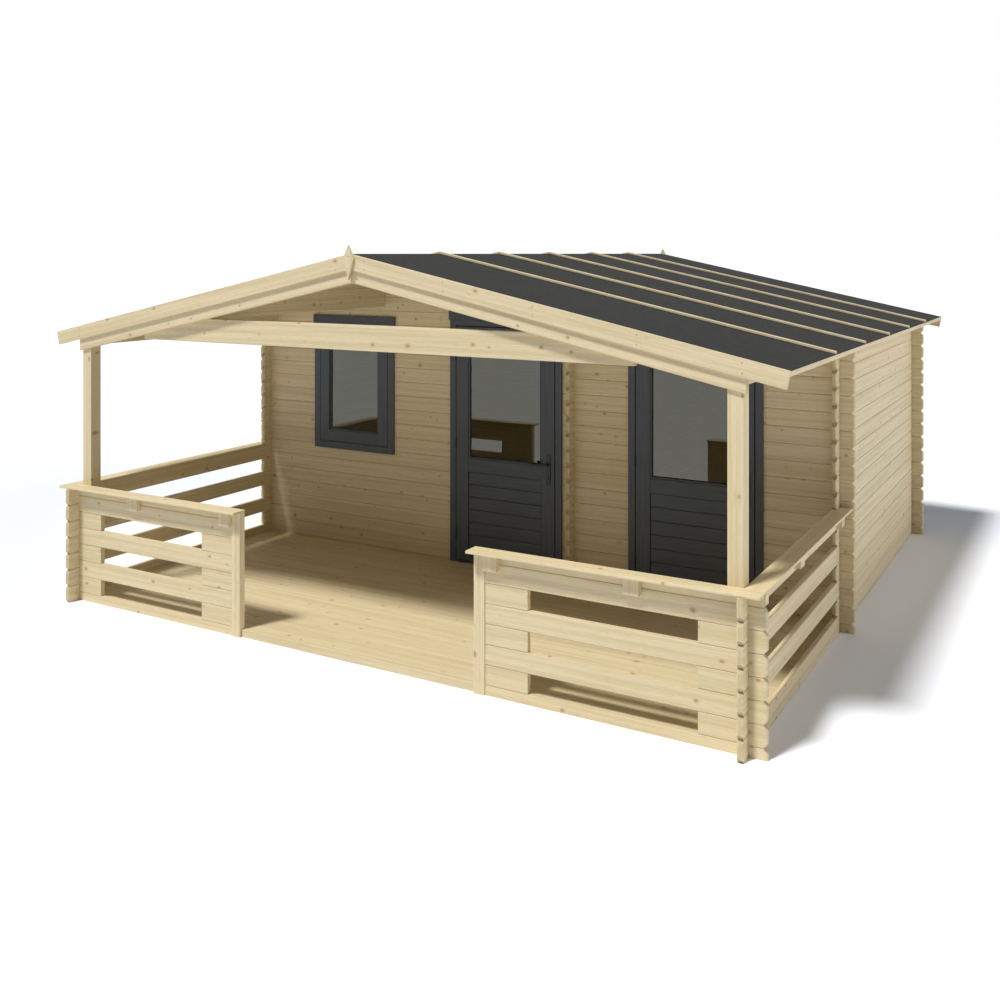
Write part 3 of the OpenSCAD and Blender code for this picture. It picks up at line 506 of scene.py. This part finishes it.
def glazing(name, pane, body, paint):
    # Beads and gaskets on both sides of a pane
    low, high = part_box(pane)
    inset = Vector((pane_groove, 0, pane_groove))
    low, high = low + inset, high - inset
    for part, width, depth, material in (("beads", bead_w, bead_d, paint),
                                         ("gaskets", bead_w + gasket_w, gasket_d, glazing_rubber)):
        bm = bmesh.new()
        mitred(bm, low, high, width, low.y - depth, low.y)
        mitred(bm, low, high, width, high.y, high.y + depth)
        if part == "beads":
            ease_edges(bm, bead_ease)
        piece(name + "_" + part, bm, material, body)


paint_upright = anthracite_paint("upright", (0, 0, 1))
paint_level = anthracite_paint("level", (1, 0, 0))
glazing_rubber = rubber()
pane_glass = float_glass()
eased("window_frame", paint_ease, paint_upright)
eased("window_sash", paint_ease, paint_upright)
eased("head_trims", paint_ease, paint_level)
dress(pane_glass, "window_glass", "left_door_glass", "right_door_glass")
glazing("window", "window_glass", "shed", paint_level)


# Door frames gripped around the logs, and the door leaves: stiles and rails with a pane in the upper half and six
# boards with V joints in the lower one. Softwood painted anthracite.
mid_rail_h = 0.110
panel_in = 0.008
panel_boards = 6
panel_v = 0.005
for node in ("door_jambs", "door_heads", "door_sills"):
    eased(node, paint_ease, paint_upright if node == "door_jambs" else paint_level)
for side in ("left", "right"):
    body = side + "_door"
    low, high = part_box(body + "_leaf")
    pane_low, pane_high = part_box(body + "_glass")
    x0, x1 = pane_low.x + pane_groove, pane_high.x - pane_groove
    z2, z3 = pane_low.z + pane_groove, pane_high.z - pane_groove
    rail_h = high.z - z3
    z0, z1 = low.z + rail_h, z2 - mid_rail_h
    uprights = bmesh.new()
    block(uprights, low, (x0, high.y, high.z))
    block(uprights, (x1, low.y, low.z), high)
    ease_edges(uprights, paint_ease)
    piece(body + "_stiles", uprights, paint_upright, body, [body + "_leaf"])
    levels = bmesh.new()
    for a, b in ((low.z, z0), (z1, z2), (z3, high.z)):
        block(levels, (x0, low.y, a), (x1, high.y, b))
    ease_edges(levels, paint_ease)
    piece(body + "_rails", levels, paint_level, body)
    panel = bmesh.new()
    for i in range(panel_boards):
        block(panel, (x0, low.y + panel_in, z0 + (z1 - z0) * i / panel_boards),
              (x1, high.y - panel_in, z0 + (z1 - z0) * (i + 1) / panel_boards))
    ease_edges(panel, panel_v, 1)
    piece(body + "_panel", panel, paint_level, body)
    glazing(body, body + "_glass", body, paint_level)


# Door fittings: long plates, lever handles and hinges in black powder-coated steel, with a lock cylinder under each
# lever and a screw at both ends of each plate.
coat_black = "191A1B"
coat_sheen = "242526"
zinc_yellow = "C2AE7C"
zinc_dull = "A8935F"
screw_r = 0.0042
screw_rings = ((1.0, 0.0), (0.9, 0.0006), (0.5, 0.0007), (0.42, 0.0001))
screw_sides = 12
cylinder_r = 0.0085
cylinder_stem = 0.005
cylinder_drop = 0.092
cylinder_foot = 0.0195
cylinder_proud = 0.004
plug_w, plug_h = 0.0055, 0.006
plug_proud = 0.0048
key_slit = 0.0006
head_steps, foot_steps, plug_steps = 20, 8, 10
plate_up, plate_down = 0.085, 0.165
screw_inset = 0.017


def powder_coat():
    # Black powder coat: even and soft-sheened, with the fine ripple of the baked powder, drawn 3 mm wide
    ripple_w = 0.003
    made, t, shader = finish("black_powder_coat", 0.45, 1.5, 0.5)
    ripple = add(t, "TexNoise", {"Vector": add(t, "TexCoord", out="Object"), "Scale": 1 / ripple_w, "Detail": 1.0})
    colour = add(t, "Mix", {0: ripple, 6: linear(coat_black), 7: linear(coat_sheen)}, out=2, data_type="RGBA")
    t.links.new(colour, shader.inputs["Base Color"])
    bump = add(t, "Bump", {"Height": ripple, "Strength": 0.3, "Distance": 0.0003})
    t.links.new(bump, shader.inputs["Normal"])
    return made


def yellow_zinc():
    # Yellow-passivated zinc on steel: pale brass-like, half bright, clouded in patches 12 mm wide
    cloud_w = 0.012
    made, t, shader = finish("yellow_zinc_steel", 0.35)
    cloud = add(t, "TexNoise", {"Vector": add(t, "TexCoord", out="Object"), "Scale": 1 / cloud_w, "Detail": 3.0})
    colour = add(t, "Mix", {0: cloud, 6: linear(zinc_yellow), 7: linear(zinc_dull)}, out=2, data_type="RGBA")
    t.links.new(colour, shader.inputs["Base Color"])
    rough = add(t, "Math", {0: cloud, 1: 0.3, 2: 0.22}, operation="MULTIPLY_ADD")
    t.links.new(rough, shader.inputs["Roughness"])
    shader.inputs["Metallic"].default_value = 1.0
    return made


def screw_head(bm, at, facing, radius=screw_r):
    # A countersunk head with a sunk drive, its rim just proud of the face that it holds. Its rings run from the edge
    # inwards, each with its share of the radius and its rise.
    turn = Vector(facing).to_track_quat("Z", "Y").to_matrix().to_4x4()
    lift = Matrix.Translation(at) @ turn
    around_axis = [2 * math.pi * i / screw_sides for i in range(screw_sides)]
    loops = []
    for share, rise in screw_rings:
        r = share * radius
        loops.append([bm.verts.new(lift @ Vector((r * math.cos(a), r * math.sin(a), rise))) for a in around_axis])
    for a, b in zip(loops, loops[1:]):
        for i in range(screw_sides):
            j = (i + 1) % screw_sides
            bm.faces.new((a[i], a[j], b[j], b[i]))
    bm.faces.new(loops[0][::-1])
    bm.faces.new(loops[-1])


def prism(bm, outline, y0, y1):
    # A shape drawn in X and Z, carried from y0 to y1
    front = [bm.verts.new((x, y0, z)) for x, z in outline]
    back = [bm.verts.new((x, y1, z)) for x, z in outline]
    bm.faces.new(front)
    bm.faces.new(back[::-1])
    for i in range(len(outline)):
        j = (i + 1) % len(outline)
        bm.faces.new((front[j], front[i], back[i], back[j]))


coat = powder_coat()
zinc = yellow_zinc()
dress(coat, "frame_hinges", "left_door_fittings", "right_door_fittings", "left_door_lever", "right_door_lever")
for side in ("left", "right"):
    body = side + "_door"
    low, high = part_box(body + "_leaf")
    lever_low, lever_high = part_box(body + "_lever")
    axis_z = (lever_low.z + lever_high.z) / 2
    axis_x = lever_high.x - (lever_high.z - lever_low.z) / 2
    plate_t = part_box(body + "_fittings")[1].y - high.y
    cylinder = bmesh.new()
    screws = bmesh.new()
    for face, way in ((low.y - plate_t, -1), (high.y + plate_t, 1)):
        # Round head over a narrow stem, the usual lock cylinder, with a plug in two halves beside the key slit
        open_angle = math.asin(cylinder_stem / cylinder_r)
        round_angle = 2 * math.pi - 2 * open_angle
        arc = [-math.pi / 2 + open_angle + round_angle * i / head_steps for i in range(head_steps + 1)]
        head = [(axis_x + cylinder_r * math.cos(a), axis_z - cylinder_drop + cylinder_r * math.sin(a)) for a in arc]
        foot_z = axis_z - cylinder_drop - cylinder_foot
        foot = [(axis_x + cylinder_stem * math.cos(a), foot_z + cylinder_stem * math.sin(a))
                for a in (math.pi + math.pi * i / foot_steps for i in range(foot_steps + 1))]
        prism(cylinder, head + foot, face, face + way * cylinder_proud)
        for half in (-1, 1):
            bow = [(axis_x + half * (key_slit + plug_w * math.cos(a)), axis_z - cylinder_drop + plug_h * math.sin(a))
                   for a in (-math.pi / 2 + math.pi * i / plug_steps for i in range(plug_steps + 1))]
            prism(cylinder, bow, face + way * cylinder_proud, face + way * plug_proud)
        for z in (axis_z + plate_up - screw_inset, axis_z - plate_down + screw_inset):
            screw_head(screws, (axis_x, face, z), (0, way, 0))
    bmesh.ops.recalc_face_normals(cylinder, faces=cylinder.faces)
    piece(body + "_cylinder", cylinder, coat, body)
    piece(body + "_plate_screws", screws, coat, body)


# Screws and nails that show: through the bargeboards and the front finial into the timbers behind, through the caps
# into the blocks and posts, through the battens and eave trims into the roof boards. Yellow zinc, set almost flush.
face_screw_r = 0.0045
barge_h = 0.1
barge_shares = (0.04, 0.25, 0.47, 0.7, 0.91)
barge_pair = 0.027
finial_drops = (0.07, 0.15)
cap_pair = 0.022
nail_r = 0.003
nail_step = 0.45
screws = bmesh.new()
nails = bmesh.new()
for low, high in [*islands("right_bargeboards"), *islands("left_bargeboards")]:
    way = -1 if low.y < 0 else 1
    face = low.y if way < 0 else high.y
    inner, outer = sorted((low.x, high.x), key=abs)
    length = outer - inner
    for share in barge_shares:
        x = inner + share * length
        middle = high.z - abs(x) * fall - barge_h / 2 / math.cos(roof_pitch)
        for off in (-barge_pair, barge_pair):
            screw_head(screws, (x, face, middle + off), (0, way, 0), face_screw_r)
front_finial = min(islands("finials"), key=lambda ends: ends[0].y)
for drop in finial_drops:
    screw_head(screws, (0, front_finial[0].y, front_finial[1].z - drop), (0, -1, 0), face_screw_r)
cap_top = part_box("front_caps")[1].z
for low, high in [*islands("cap_blocks"), *islands("entrance_posts")]:
    middle = (low + high) / 2
    for off in (-cap_pair, cap_pair):
        spread = Vector((off, 0, 0)) if low.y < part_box("front_railings")[1].y else Vector((0, off, 0))
        screw_head(screws, Vector((middle.x, middle.y, cap_top)) + spread, (0, 0, 1), face_screw_r)
for low, high in islands("roof_battens"):
    y = (low.y + high.y) / 2
    for sign in (-1, 1):
        for i in range(1, int(high.x / nail_step) + 1):
            x = sign * i * nail_step
            screw_head(nails, (x, y, high.z - abs(x) * fall), (sign * fall, 0, 1), nail_r)
for low, high in islands("eave_trims"):
    sign = 1 if low.x > 0 else -1
    x = high.x if sign > 0 else low.x
    for i in range(1, int((high.y - low.y) / nail_step)):
        screw_head(nails, (x, low.y + i * nail_step, (low.z + high.z) / 2), (sign, 0, 0), nail_r)
piece("face_screws", screws, zinc)
piece("roof_nails", nails, zinc)


# The ground the shed stands on: a plain studio floor, lit so that it just reaches white. A little cool, because the
# timber throws warm light back on it.
floor_half = 120.0
floor_white = "F8FAFE"
ground = bpy.data.meshes.new("studio_floor")
corners = [(-floor_half, -floor_half, 0), (floor_half, -floor_half, 0), (floor_half, floor_half, 0),
           (-floor_half, floor_half, 0)]
ground.from_pydata(corners, [], [(0, 1, 2, 3)])
floor = bpy.data.objects.new("studio_floor", ground)
bpy.context.scene.collection.objects.link(floor)
studio_white, _, shader = finish("white_studio_floor", 1.0, 1.45, 0.0)
shader.inputs["Base Color"].default_value = linear(floor_white)
ground.materials.append(studio_white)


# Light: a soft key from the front left and above, a softer fill from the right and behind, and an even pale sky that
# the camera and the panes see as white.
scene = bpy.context.scene
scene.view_settings.view_transform = "Standard"
sky_light = 0.15
sky_blue = "D8E6FF"
sky_seen = "FFFFFF"
key_travels, key_strength, key_spread = (0.2, 0.5, -1.0), 3.2, 9.0
fill_travels, fill_strength, fill_spread = (-1.0, -0.3, -0.38), 0.9, 25.0
sky = bpy.data.worlds.new("white_sky")
scene.world = sky
sky.use_nodes = True
t = sky.node_tree
rays = add(t, "LightPath").node.outputs
seen = add(t, "Math", {0: rays["Is Camera Ray"], 1: rays["Is Glossy Ray"]}, operation="MAXIMUM")
seen = add(t, "Math", {0: seen, 1: rays["Is Transmission Ray"]}, operation="MAXIMUM")
level = add(t, "Math", {0: seen, 1: 1.0 - sky_light, 2: sky_light}, operation="MULTIPLY_ADD")
t.links.new(level, t.nodes["Background"].inputs["Strength"])
colour = add(t, "Mix", {0: seen, 6: linear(sky_blue), 7: linear(sky_seen)}, out=2, data_type="RGBA")
t.links.new(colour, t.nodes["Background"].inputs["Color"])


def sunlight(name, travels, strength, spread_deg):
    # A far lamp that shines one way, softer the wider it spreads
    lamp = bpy.data.lights.new(name, "SUN")
    lamp.energy = strength
    lamp.angle = math.radians(spread_deg)
    holder = bpy.data.objects.new(name, lamp)
    holder.rotation_euler = Vector(travels).to_track_quat("-Z", "Y").to_euler()
    scene.collection.objects.link(holder)


sunlight("key_light", key_travels, key_strength, key_spread)
sunlight("fill_light", fill_travels, fill_strength, fill_spread)


# Camera at the photograph's angle: level, in front of the right corner and turned to the left, with its frame
# shifted down. The picture is square, 1000 pixels wide.
picture = 1000
focal_px = 1077.76
horizon_px = 253.44
sensor_mm = 36.0
eye = (4.2491, -8.194, 2.6162)
turned = math.radians(29.75)
sight = 500.0
camera = bpy.data.cameras.new("photo_camera")
camera.sensor_width = sensor_mm
camera.sensor_fit = "HORIZONTAL"
camera.lens = focal_px * sensor_mm / picture
camera.shift_y = (horizon_px - picture / 2) / picture
camera.clip_end = sight
viewpoint = bpy.data.objects.new("photo_camera", camera)
viewpoint.location = eye
viewpoint.rotation_euler = (math.radians(90), 0, turned)
scene.collection.objects.link(viewpoint)
scene.camera = viewpoint
